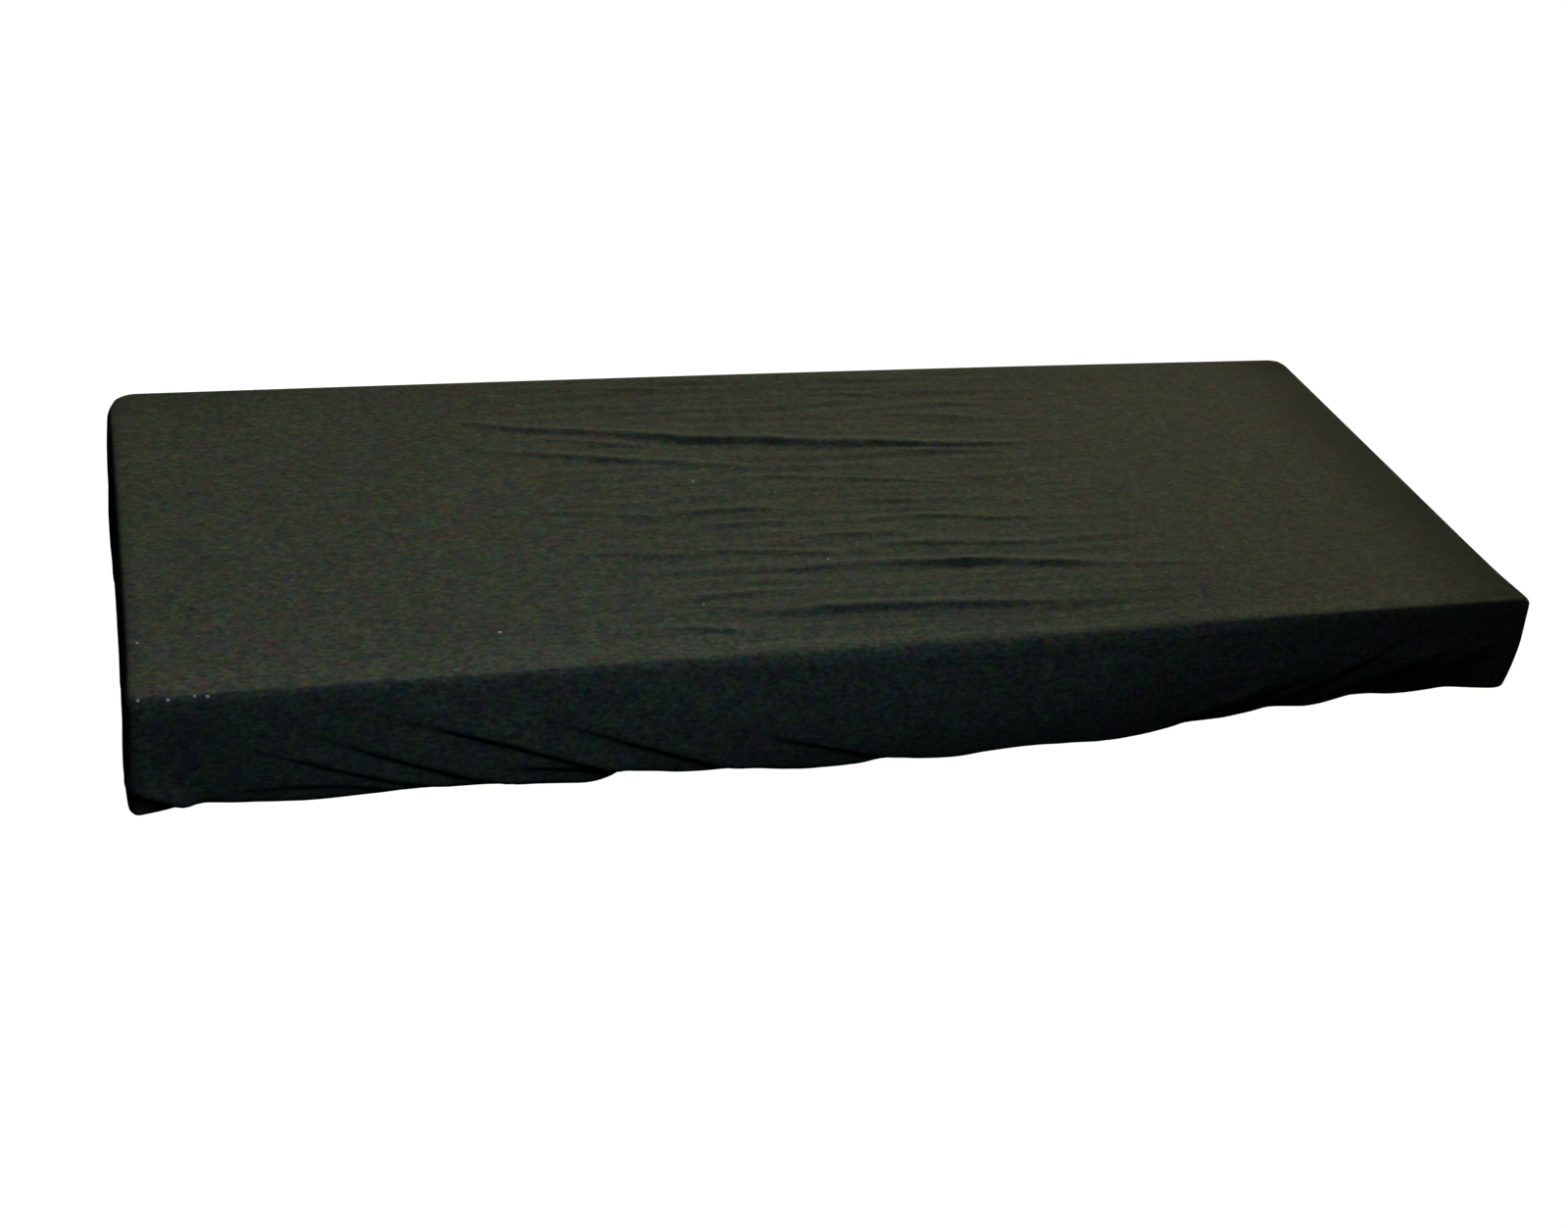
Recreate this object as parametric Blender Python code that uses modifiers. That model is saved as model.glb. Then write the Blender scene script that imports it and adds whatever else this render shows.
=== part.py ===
"""Keyboard dust cover: one piece of black stretch knit, as it sits when it is worn.

It has a flat top with long wrinkles, top edges that roll over softly, four skirt sides that hang in slanting
creases, and a gathered hem that turns in under the sides. It is hollow and open below.

Metres. +X runs along the keyboard, -Y is the front and +Z is up. The origin is the middle of the underside
of the top.
"""

import math
from collections import namedtuple

import bmesh
import bpy

NAME = "cover"

# The cover as worn, measured to the outer side of the cloth where it hangs straight down
HALF_LENGTH = 0.4815
HALF_DEPTH = 0.1914
THICK = 0.0015

# The gathered hem: it rolls in under the side and ends in a short flap that rises a little
HEM_TURN = math.radians(105)
HEM_FLAP = 0.012

# The mesh: pitch of the lines across the top, lines close to each corner, how far in from the outline the flat
# top ends, steps down the sides, and the share of the faces that is kept
PITCH_X = 0.0095
PITCH_Y = 0.005
CORNER_LINES = (0.003, 0.006, 0.009)
INSET = 0.014
ROLL_STEPS = 4
WALL_STEPS = 11
CURL_STEPS = 4
KEPT_FACES = 0.176

# How far the sides' swell has turned back where the hem begins, as a share of half a wave
SWELL_TURN = 0.72

# Corners of the outline seen from above: which side they are on and how far the rounding reaches
Corner = namedtuple("Corner", "x_side y_side x_reach y_reach")
CORNERS = (
    Corner(-1, -1, 0.009, 0.009),
    Corner(1, -1, 0.005, 0.005),
    Corner(1, 1, 0.014, 0.014),
    Corner(-1, 1, 0.018, 0.032),
)

# Sections along each side: place along it, radius of the top edge, how much the edge sags, how far the side
# swells out and the radius in which the hem turns in. A side's place is x on the front and back and y on the
# ends.
Section = namedtuple("Section", "at edge_radius edge_sag swell hem_radius")
SECTIONS = {
    "front": (
        Section(-0.4815, 0.0065, 0.0000, 0.0010, 0.0050),
        Section(-0.4500, 0.0045, 0.0000, 0.0020, 0.0080),
        Section(-0.3000, 0.0045, 0.0000, 0.0050, 0.0090),
        Section(-0.1500, 0.0060, 0.0005, 0.0070, 0.0090),
        Section(-0.0200, 0.0120, 0.0035, 0.0090, 0.0090),
        Section(0.1000, 0.0135, 0.0048, 0.0100, 0.0090),
        Section(0.2000, 0.0110, 0.0032, 0.0080, 0.0090),
        Section(0.3000, 0.0060, 0.0005, 0.0050, 0.0090),
        Section(0.4500, 0.0050, 0.0000, 0.0025, 0.0090),
        Section(0.4815, 0.0055, 0.0000, 0.0035, 0.0060),
    ),
    "right": (
        Section(-0.1914, 0.0055, 0.0000, 0.0035, 0.0060),
        Section(-0.1500, 0.0095, 0.0000, 0.0020, 0.0085),
        Section(0.0000, 0.0090, 0.0000, 0.0015, 0.0090),
        Section(0.1914, 0.0075, 0.0000, 0.0015, 0.0090),
    ),
    "back": (
        Section(-0.4815, 0.0070, 0.0000, 0.0020, 0.0090),
        Section(-0.2000, 0.0065, 0.0000, 0.0050, 0.0090),
        Section(0.0500, 0.0070, 0.0000, 0.0070, 0.0090),
        Section(0.2500, 0.0065, 0.0000, 0.0050, 0.0090),
        Section(0.4815, 0.0070, 0.0000, 0.0015, 0.0090),
    ),
    "left": (
        Section(-0.1914, 0.0065, 0.0000, 0.0010, 0.0050),
        Section(-0.1500, 0.0090, 0.0000, 0.0012, 0.0085),
        Section(0.0000, 0.0100, 0.0000, 0.0015, 0.0090),
        Section(0.1200, 0.0090, 0.0000, 0.0035, 0.0090),
        Section(0.1914, 0.0070, 0.0000, 0.0020, 0.0090),
    ),
}

# The hem's lowest line: place along the side and how far it hangs below the top
Hem = namedtuple("Hem", "at drop")
HEMS = {
    "front": (
        Hem(-0.4815, 0.0860),
        Hem(-0.464, 0.0845),
        Hem(-0.443, 0.0800),
        Hem(-0.420, 0.0820),
        Hem(-0.376, 0.0853),
        Hem(-0.341, 0.0838),
        Hem(-0.310, 0.0818),
        Hem(-0.263, 0.0846),
        Hem(-0.219, 0.0882),
        Hem(-0.200, 0.0888),
        Hem(-0.180, 0.0808),
        Hem(-0.142, 0.0864),
        Hem(-0.100, 0.0870),
        Hem(-0.062, 0.0932),
        Hem(-0.021, 0.0924),
        Hem(0.000, 0.0882),
        Hem(0.026, 0.0920),
        Hem(0.049, 0.0936),
        Hem(0.099, 0.0886),
        Hem(0.162, 0.0913),
        Hem(0.198, 0.0880),
        Hem(0.227, 0.0809),
        Hem(0.245, 0.0824),
        Hem(0.289, 0.0763),
        Hem(0.324, 0.0791),
        Hem(0.350, 0.0722),
        Hem(0.388, 0.0755),
        Hem(0.434, 0.0724),
        Hem(0.455, 0.0769),
        Hem(0.4815, 0.0750),
    ),
    "right": (
        Hem(-0.1914, 0.0750),
        Hem(-0.110, 0.0790),
        Hem(-0.060, 0.0765),
        Hem(0.030, 0.0820),
        Hem(0.090, 0.0785),
        Hem(0.1914, 0.0815),
    ),
    "back": (
        Hem(-0.4815, 0.0830),
        Hem(-0.390, 0.0800),
        Hem(-0.310, 0.0845),
        Hem(-0.255, 0.0805),
        Hem(-0.160, 0.0880),
        Hem(-0.105, 0.0850),
        Hem(0.020, 0.0905),
        Hem(0.110, 0.0860),
        Hem(0.185, 0.0875),
        Hem(0.260, 0.0800),
        Hem(0.330, 0.0830),
        Hem(0.400, 0.0785),
        Hem(0.4815, 0.0815),
    ),
    "left": (
        Hem(-0.1914, 0.0860),
        Hem(-0.120, 0.0805),
        Hem(-0.030, 0.0850),
        Hem(0.050, 0.0815),
        Hem(0.120, 0.0845),
        Hem(0.1914, 0.0830),
    ),
}

# Creases that slant down a side to the hem. The cloth above one swells out over it and the cloth below it
# lies back. Columns: the upper end's place and depth, the lower end's, how far its middle bows down, and how
# far the cloth above it swells.
Crease = namedtuple("Crease", "top_at top_depth low_at low_depth bow swell")
CREASES = {
    "front": (
        Crease(-0.500, 0.062, -0.448, 0.079, 0.000, 0.0025),
        Crease(-0.425, 0.040, -0.315, 0.080, 0.000, 0.0035),
        Crease(-0.380, 0.030, -0.262, 0.083, 0.003, 0.0040),
        Crease(-0.330, 0.026, -0.180, 0.082, 0.002, 0.0050),
        Crease(-0.240, 0.034, -0.108, 0.087, 0.002, 0.0040),
        Crease(-0.160, 0.034, -0.006, 0.090, 0.003, 0.0030),
        Crease(0.280, 0.040, 0.222, 0.076, 0.002, 0.0030),
        Crease(0.318, 0.038, 0.246, 0.078, 0.002, 0.0035),
        Crease(0.390, 0.020, 0.290, 0.076, 0.003, 0.0040),
        Crease(0.432, 0.020, 0.350, 0.072, 0.003, 0.0040),
        Crease(0.452, 0.028, 0.405, 0.066, 0.000, 0.0025),
    ),
    "right": (
        Crease(-0.150, 0.030, -0.058, 0.078, 0.002, 0.0030),
        Crease(0.150, 0.032, 0.088, 0.080, 0.002, 0.0030),
    ),
    "back": (
        Crease(-0.420, 0.034, -0.330, 0.082, 0.002, 0.0030),
        Crease(-0.360, 0.028, -0.240, 0.082, 0.003, 0.0035),
        Crease(-0.250, 0.034, -0.100, 0.088, 0.003, 0.0030),
        Crease(0.235, 0.036, 0.120, 0.088, 0.002, 0.0030),
        Crease(0.360, 0.028, 0.255, 0.082, 0.003, 0.0035),
        Crease(0.430, 0.030, 0.345, 0.080, 0.002, 0.0030),
    ),
    "left": (
        Crease(-0.150, 0.032, -0.070, 0.082, 0.002, 0.0016),
        Crease(0.145, 0.034, 0.060, 0.082, 0.002, 0.0016),
    ),
}
# The cloth above a crease swells over this height, steps in at the crease over STEP_IN, and lies back below it
# by a share of the swell. A crease deepens over the first share of its length and fades past its lower end.
SWELL_ABOVE = 0.014
STEP_IN = 0.003
LIE_BACK = 0.009
LIE_BACK_SHARE = 0.45
DEEPEN_SHARE = 0.5
FADE_SHARE = 0.25

# Wrinkles across the top, each a ridge with its steeper face to the front. Columns: where it starts and
# ends, how far its middle bows to the back, how high it rises and how wide one flank is.
Ridge = namedtuple("Ridge", "x_start y_start x_end y_end bow rise flank")
RIDGES = (
    Ridge(-0.250, 0.129, -0.045, 0.089, 0.002, 0.0026, 0.0060),
    Ridge(-0.075, 0.091, 0.190, 0.069, 0.000, 0.0032, 0.0070),
    Ridge(-0.240, 0.090, -0.055, 0.053, -0.001, 0.0022, 0.0060),
    Ridge(-0.200, -0.003, -0.045, -0.010, -0.002, 0.0020, 0.0062),
    Ridge(-0.195, -0.056, 0.005, -0.073, 0.002, 0.0022, 0.0060),
    Ridge(-0.115, -0.085, 0.255, -0.108, 0.006, 0.0032, 0.0070),
    Ridge(-0.105, -0.130, 0.170, -0.148, 0.001, 0.0026, 0.0065),
    Ridge(0.015, -0.062, 0.160, -0.074, 0.000, 0.0020, 0.0060),
)
FRONT_FLANK = 0.8
BACK_FLANK = 1.2
RIDGE_TAPER = 0.7

# How far in from the front the top begins to sink towards the slack part of its edge
EDGE_SAG_REACH = 0.050

KNIT_COLOUR = (0.016, 0.018, 0.016, 1.0)
KNIT_ROUGHNESS = 0.9

# A place on the outline seen from above: its side, its place along that side, and the direction out of it
Post = namedtuple("Post", "side at x y out_x out_y")


def eased(value):
    """0 below 0, 1 above 1, and a smooth rise between."""
    value = min(1.0, max(0.0, value))
    return value * value * (3 - 2 * value)


def along_rows(rows, at, column):
    """A column's value at a place, on a smooth curve through the rows."""
    spot = min(max(at, rows[0].at), rows[-1].at)
    low = max(i for i in range(len(rows) - 1) if rows[i].at <= spot)
    near = [rows[min(max(low + i, 0), len(rows) - 1)] for i in (-1, 0, 1, 2)]
    before, start, end, after = [getattr(row, column) for row in near]
    span = near[2].at - near[1].at
    share = (spot - near[1].at) / span
    start_slope = (end - before) * span / (near[2].at - near[0].at)
    end_slope = (after - start) * span / (near[3].at - near[1].at)
    rest = 1 - share
    value = start * (1 + 2 * share) * rest * rest + end * (1 + 2 * rest) * share * share
    return value + (start_slope * rest - end_slope * share) * share * rest


def crease_swell(crease, at, depth):
    """How far one crease moves the cloth out, at a place along the side and a depth below the top."""
    share = (at - crease.top_at) / (crease.low_at - crease.top_at)
    if share <= 0 or share >= 1 + FADE_SHARE:
        return 0.0
    line = crease.top_depth + (crease.low_depth - crease.top_depth) * share
    line += 4 * crease.bow * share * (1 - share)
    strength = crease.swell * eased(share / DEEPEN_SHARE) * eased((1 + FADE_SHARE - share) / FADE_SHARE)
    above = line - depth
    if above > 0:
        rise = 1 - math.exp(-above / STEP_IN)
        return strength * rise * math.exp(-((above / SWELL_ABOVE) ** 2))
    return -strength * LIE_BACK_SHARE * (1 - math.exp(above / STEP_IN)) * math.exp(above / LIE_BACK)


def ridge_rise(ridge, x, y):
    """How far one wrinkle lifts the top."""
    share = (x - ridge.x_start) / (ridge.x_end - ridge.x_start)
    if share <= 0 or share >= 1:
        return 0.0
    crest = ridge.y_start + (ridge.y_end - ridge.y_start) * share
    crest += 4 * ridge.bow * share * (1 - share)
    flank = ridge.flank * (FRONT_FLANK if y < crest else BACK_FLANK)
    along = math.sin(math.pi * share) ** RIDGE_TAPER
    return ridge.rise * along * math.exp(-(((y - crest) / flank) ** 2))


def edge_sag(x, y):
    """How far the top sinks towards its front edge, where the cloth is slack."""
    near_edge = eased((-HALF_DEPTH + INSET + EDGE_SAG_REACH - y) / EDGE_SAG_REACH)
    return near_edge * along_rows(SECTIONS["front"], x, "edge_sag")


def top_height(x, y):
    return THICK - edge_sag(x, y) + sum(ridge_rise(ridge, x, y) for ridge in RIDGES)


def lines(half, pitch):
    """Places of the grid lines across the top, closer together at both ends."""
    inner = half - CORNER_LINES[-1]
    count = round(2 * inner / pitch)
    middle = [-inner + 2 * inner * i / count for i in range(1, count)]
    ends = [half] + [half - step for step in CORNER_LINES]
    return [-place for place in ends] + middle + ends[::-1]


def outline_post(x, y):
    """The place on the outline, seen from above, for a place on the border of its plain rectangle."""
    if abs(y) >= HALF_DEPTH:
        side, at = ("front", x) if y < 0 else ("back", x)
        out_x, out_y = 0.0, math.copysign(1, y)
    else:
        side, at = ("left", y) if x < 0 else ("right", y)
        out_x, out_y = math.copysign(1, x), 0.0
    for corner in CORNERS:
        x_in = (x * corner.x_side - HALF_LENGTH) / corner.x_reach + 1
        y_in = (y * corner.y_side - HALF_DEPTH) / corner.y_reach + 1
        if x_in > 0 and y_in > 0:
            turn = math.pi / 4 * (y_in if x_in >= 1 else 2 - x_in)
            x = corner.x_side * (HALF_LENGTH + corner.x_reach * (math.cos(turn) - 1))
            y = corner.y_side * (HALF_DEPTH + corner.y_reach * (math.sin(turn) - 1))
            out_x = corner.x_side * math.cos(turn) * corner.y_reach
            out_y = corner.y_side * math.sin(turn) * corner.x_reach
    length = math.hypot(out_x, out_y)
    return Post(side, at, x, y, out_x / length, out_y / length)


def on_side(post, inner, out, z):
    """A point beside the outline: straight out from it, or inwards along the line to the flat top."""
    if out > 0:
        return (post.x + post.out_x * out, post.y + post.out_y * out, z)
    share = -out / INSET
    return (post.x + (inner[0] - post.x) * share, post.y + (inner[1] - post.y) * share, z)


def side_profile(post):
    """(distance out, height) of each step from the flat top over the edge, down the side and round the hem."""
    rows = SECTIONS[post.side]
    radius = along_rows(rows, post.at, "edge_radius")
    sag = along_rows(rows, post.at, "edge_sag")
    swell = along_rows(rows, post.at, "swell")
    hem_radius = along_rows(rows, post.at, "hem_radius")
    drop = along_rows(HEMS[post.side], post.at, "drop")
    points = []
    for i in range(ROLL_STEPS + 1):
        turn = math.pi / 2 * i / ROLL_STEPS
        points.append((radius * (math.sin(turn) - 1), THICK - sag - radius * (1 - math.cos(turn))))
    wall_top = points[-1][1]
    wall_foot = hem_radius - drop
    for i in range(1, WALL_STEPS + 1):
        share = i / WALL_STEPS
        z = wall_top + (wall_foot - wall_top) * share
        out = swell * math.sin(math.pi * SWELL_TURN * share)
        points.append((out + creases_at(post, -z), z))
    foot_swell = swell * math.sin(math.pi * SWELL_TURN)
    for i in range(1, CURL_STEPS + 1):
        turn = HEM_TURN * i / CURL_STEPS
        out = foot_swell + creases_at(post, -wall_foot + hem_radius * turn)
        points.append((out - hem_radius * (1 - math.cos(turn)), wall_foot - hem_radius * math.sin(turn)))
    out, z = points[-1]
    points.append((out - HEM_FLAP * math.sin(HEM_TURN), z - HEM_FLAP * math.cos(HEM_TURN)))
    return points


def creases_at(post, depth):
    return sum(crease_swell(crease, post.at, depth) for crease in CREASES[post.side])


def cloth_surface():
    """The outer side of the cloth: a grid for the top, whose border is drawn out over the edge and down."""
    x_lines = lines(HALF_LENGTH, PITCH_X)
    y_lines = lines(HALF_DEPTH, PITCH_Y)
    cloth = bmesh.new()
    columns, rows = len(x_lines) - 1, len(y_lines) - 1
    bmesh.ops.create_grid(cloth, x_segments=columns, y_segments=rows, size=1)
    post_of = cloth.verts.layers.int.new("post")
    posts, inners, profiles = [], [], []
    for vert in cloth.verts:
        x = x_lines[round((vert.co.x + 1) / 2 * columns)]
        y = y_lines[round((vert.co.y + 1) / 2 * rows)]
        inner = (x * (1 - INSET / HALF_LENGTH), y * (1 - INSET / HALF_DEPTH))
        if vert.is_boundary:
            vert[post_of] = len(posts)
            posts.append(outline_post(x, y))
            inners.append(inner)
            profiles.append(side_profile(posts[-1]))
        vert.co = (*inner, top_height(*inner))
    for step in range(len(profiles[0])):
        border = [edge for edge in cloth.edges if edge.is_boundary]
        drawn = bmesh.ops.extrude_edge_only(cloth, edges=border)["geom"]
        for vert in drawn:
            if isinstance(vert, bmesh.types.BMVert):
                number = vert[post_of]
                vert.co = on_side(posts[number], inners[number], *profiles[number][step])
    bmesh.ops.recalc_face_normals(cloth, faces=cloth.faces[:])
    mesh = bpy.data.meshes.new(NAME)
    cloth.to_mesh(mesh)
    cloth.free()
    return mesh


def knit_material():
    material = bpy.data.materials.new("black_stretch_knit")
    material.use_nodes = True
    shader = material.node_tree.nodes["Principled BSDF"]
    shader.inputs["Base Color"].default_value = KNIT_COLOUR
    shader.inputs["Roughness"].default_value = KNIT_ROUGHNESS
    shader.inputs["Metallic"].default_value = 0.0
    return material


def make_cover(collection):
    cover = bpy.data.objects.new(NAME, cloth_surface())
    collection.objects.link(cover)
    cover.data.materials.append(knit_material())
    thinned = cover.modifiers.new("fewer faces where it is smooth", "DECIMATE")
    thinned.ratio = KEPT_FACES
    cloth = cover.modifiers.new("cloth thickness", "SOLIDIFY")
    cloth.thickness = THICK
    cloth.offset = -1
    cloth.use_rim = True
    cover.data.shade_smooth()
    return cover


def main():
    for obj in list(bpy.data.objects):
        bpy.data.objects.remove(obj, do_unlink=True)
    collection = bpy.data.collections.new("keyboard_dust_cover")
    bpy.context.scene.collection.children.link(collection)
    make_cover(collection)


main()
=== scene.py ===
"""Looks of the keyboard dust cover: black stretch knit, wrinkled across the top and creased down its sides.

The sheet repeats the solid's form in finer steps and adds the finer wrinkles, sharper creases and the hem's
puckers. Metres, in the frame's own axes: +X along the cover's length, -Y the front, +Z up, and 0 at the
underside of the top.
"""

import math
from collections import namedtuple

import bmesh
import bpy
from mathutils import Matrix, Vector, noise


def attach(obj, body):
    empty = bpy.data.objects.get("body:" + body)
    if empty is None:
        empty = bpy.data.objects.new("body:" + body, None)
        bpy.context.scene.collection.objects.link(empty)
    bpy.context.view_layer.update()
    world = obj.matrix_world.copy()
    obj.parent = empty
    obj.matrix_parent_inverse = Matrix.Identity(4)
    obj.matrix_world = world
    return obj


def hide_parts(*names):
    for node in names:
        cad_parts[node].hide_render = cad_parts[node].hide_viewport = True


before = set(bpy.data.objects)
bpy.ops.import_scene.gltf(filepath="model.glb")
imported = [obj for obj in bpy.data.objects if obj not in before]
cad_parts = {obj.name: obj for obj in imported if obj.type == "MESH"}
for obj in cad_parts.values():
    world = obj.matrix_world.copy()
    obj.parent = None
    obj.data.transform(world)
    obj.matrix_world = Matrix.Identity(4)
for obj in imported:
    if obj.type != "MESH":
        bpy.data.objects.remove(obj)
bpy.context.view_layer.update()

NODE = "cover"
BODY = "root"

# The cover as worn, measured to the outer side of the cloth where it hangs straight down
HALF_LENGTH = 0.4815
HALF_DEPTH = 0.1914
PERIMETER = 4 * (HALF_LENGTH + HALF_DEPTH)
THICK = 0.0015

# The gathered hem: it rolls in under the side and ends in a short flap that rises a little. The flap is
# shorter where the side is drawn in further.
HEM_TURN = math.radians(105)
HEM_FLAP = 0.012
SHORT_FLAP = 0.003

# The mesh: pitch of the lines across the top, lines close to each corner, how far in from the outline the
# flat top ends, steps down the sides, the share of the faces that is kept, and a slanting direction along
# which the points, edges and faces are sorted
PITCH_X = 0.0036
PITCH_Y = 0.0017
CORNER_LINES = (0.0015, 0.003, 0.0045, 0.006, 0.0075, 0.009)
INSET = 0.014
ROLL_STEPS = 6
WALL_STEPS = 48
CURL_STEPS = 7
FLAP_STEPS = 3
KEPT_FACES = 0.375
SORTED_ALONG = Vector((1.0, 0.618, 0.414))

# How far the sides' swell has turned back where the hem begins, as a share of half a wave
SWELL_TURN = 0.72

# Below this share of its height a side is drawn in: it bends softly over the next share and runs nearly
# straight from there on. Its foot leans in more than its lower part does on the whole, by this factor.
TUCK_FROM = 0.40
TUCK_BEND = 0.15
TUCK_SLOPE = 1.15

# A side's fine unevenness comes in over this share of its height, from the top edge down
DETAIL_SHARE = 0.25

# Corners of the outline seen from above: which side they are on and how far the rounding reaches
Corner = namedtuple("Corner", "x_side y_side x_reach y_reach")
CORNERS = (
    Corner(-1, -1, 0.0055, 0.014),
    Corner(1, -1, 0.005, 0.005),
    Corner(1, 1, 0.014, 0.014),
    Corner(-1, 1, 0.018, 0.032),
)

# Sections along each side: place along it, width and depth of the top edge's rounding, how much the edge
# sinks, how far the side swells out, the radius in which the hem turns in and how far the side's lower part
# is drawn in. A side's place is x on the front and back and y on the ends.
Section = namedtuple("Section", "at edge_width edge_depth edge_sag swell hem_radius tuck")
SECTIONS = {
    "front": (
        Section(-0.4815, 0.0055, 0.0080, 0.0000, 0.0024, 0.0040, 0.0000),
        Section(-0.4500, 0.0045, 0.0045, 0.0000, 0.0020, 0.0080, 0.0000),
        Section(-0.3000, 0.0045, 0.0045, 0.0000, 0.0050, 0.0090, 0.0000),
        Section(-0.1500, 0.0060, 0.0060, 0.0005, 0.0070, 0.0090, 0.0000),
        Section(-0.0200, 0.0120, 0.0120, 0.0035, 0.0090, 0.0090, 0.0000),
        Section(0.1000, 0.0135, 0.0135, 0.0048, 0.0100, 0.0090, 0.0000),
        Section(0.2000, 0.0110, 0.0110, 0.0032, 0.0080, 0.0090, 0.0040),
        Section(0.3000, 0.0060, 0.0060, 0.0005, 0.0050, 0.0100, 0.0110),
        Section(0.4500, 0.0050, 0.0050, 0.0000, 0.0025, 0.0100, 0.0115),
        Section(0.4815, 0.0055, 0.0055, 0.0000, 0.0035, 0.0070, 0.0010),
    ),
    "right": (
        Section(-0.1914, 0.0055, 0.0055, 0.0000, 0.0035, 0.0070, 0.0010),
        Section(-0.1500, 0.0095, 0.0095, 0.0000, 0.0020, 0.0085, 0.0000),
        Section(0.0000, 0.0090, 0.0090, 0.0000, 0.0015, 0.0090, 0.0000),
        Section(0.1914, 0.0075, 0.0075, 0.0000, 0.0015, 0.0090, 0.0000),
    ),
    "back": (
        Section(-0.4815, 0.0060, 0.0065, 0.0000, 0.0024, 0.0090, 0.0000),
        Section(-0.2000, 0.0065, 0.0065, -0.0012, 0.0050, 0.0090, 0.0000),
        Section(0.0500, 0.0070, 0.0070, -0.0018, 0.0070, 0.0090, 0.0000),
        Section(0.2500, 0.0065, 0.0065, -0.0012, 0.0050, 0.0090, 0.0000),
        Section(0.4815, 0.0070, 0.0070, 0.0000, 0.0015, 0.0090, 0.0000),
    ),
    "left": (
        Section(-0.1914, 0.0055, 0.0080, 0.0000, 0.0024, 0.0040, 0.0000),
        Section(-0.1500, 0.0068, 0.0160, 0.0000, 0.0010, 0.0070, 0.0000),
        Section(0.0000, 0.0062, 0.0140, 0.0000, 0.0012, 0.0085, 0.0000),
        Section(0.1200, 0.0055, 0.0095, 0.0000, 0.0018, 0.0090, 0.0000),
        Section(0.1914, 0.0060, 0.0065, 0.0000, 0.0024, 0.0090, 0.0000),
    ),
}

# The hem's lowest line: place along the side and how far it hangs below the top
Hem = namedtuple("Hem", "at drop")
HEMS = {
    "front": (
        Hem(-0.4815, 0.0842),
        Hem(-0.4640, 0.0834),
        Hem(-0.4430, 0.0801),
        Hem(-0.4200, 0.0822),
        Hem(-0.3760, 0.0849),
        Hem(-0.3410, 0.0839),
        Hem(-0.3100, 0.0826),
        Hem(-0.2800, 0.0832),
        Hem(-0.2630, 0.0841),
        Hem(-0.2190, 0.0879),
        Hem(-0.2000, 0.0888),
        Hem(-0.1885, 0.0857),
        Hem(-0.1800, 0.0812),
        Hem(-0.1720, 0.0816),
        Hem(-0.1420, 0.0864),
        Hem(-0.1000, 0.0875),
        Hem(-0.0620, 0.0918),
        Hem(-0.0210, 0.0917),
        Hem(0.0000, 0.0889),
        Hem(0.0260, 0.0915),
        Hem(0.0490, 0.0922),
        Hem(0.0720, 0.0900),
        Hem(0.0990, 0.0887),
        Hem(0.1300, 0.0902),
        Hem(0.1620, 0.0925),
        Hem(0.1800, 0.0923),
        Hem(0.1980, 0.0909),
        Hem(0.2120, 0.0891),
        Hem(0.2270, 0.0875),
        Hem(0.2450, 0.0882),
        Hem(0.2640, 0.0892),
        Hem(0.2890, 0.0870),
        Hem(0.3060, 0.0857),
        Hem(0.3240, 0.0874),
        Hem(0.3370, 0.0887),
        Hem(0.3500, 0.0878),
        Hem(0.3690, 0.0839),
        Hem(0.3880, 0.0836),
        Hem(0.4110, 0.0856),
        Hem(0.4340, 0.0848),
        Hem(0.4550, 0.0821),
        Hem(0.4680, 0.0805),
        Hem(0.4815, 0.0778),
    ),
    "right": (
        Hem(-0.1914, 0.0778),
        Hem(-0.110, 0.0790),
        Hem(-0.060, 0.0765),
        Hem(0.030, 0.0820),
        Hem(0.090, 0.0785),
        Hem(0.1914, 0.0815),
    ),
    "back": (
        Hem(-0.4815, 0.0830),
        Hem(-0.390, 0.0800),
        Hem(-0.310, 0.0845),
        Hem(-0.255, 0.0805),
        Hem(-0.160, 0.0880),
        Hem(-0.105, 0.0850),
        Hem(0.020, 0.0905),
        Hem(0.110, 0.0860),
        Hem(0.185, 0.0875),
        Hem(0.260, 0.0800),
        Hem(0.330, 0.0830),
        Hem(0.400, 0.0785),
        Hem(0.4815, 0.0815),
    ),
    "left": (
        Hem(-0.1914, 0.0842),
        Hem(-0.120, 0.0805),
        Hem(-0.030, 0.0850),
        Hem(0.050, 0.0815),
        Hem(0.120, 0.0845),
        Hem(0.1914, 0.0830),
    ),
}

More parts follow.
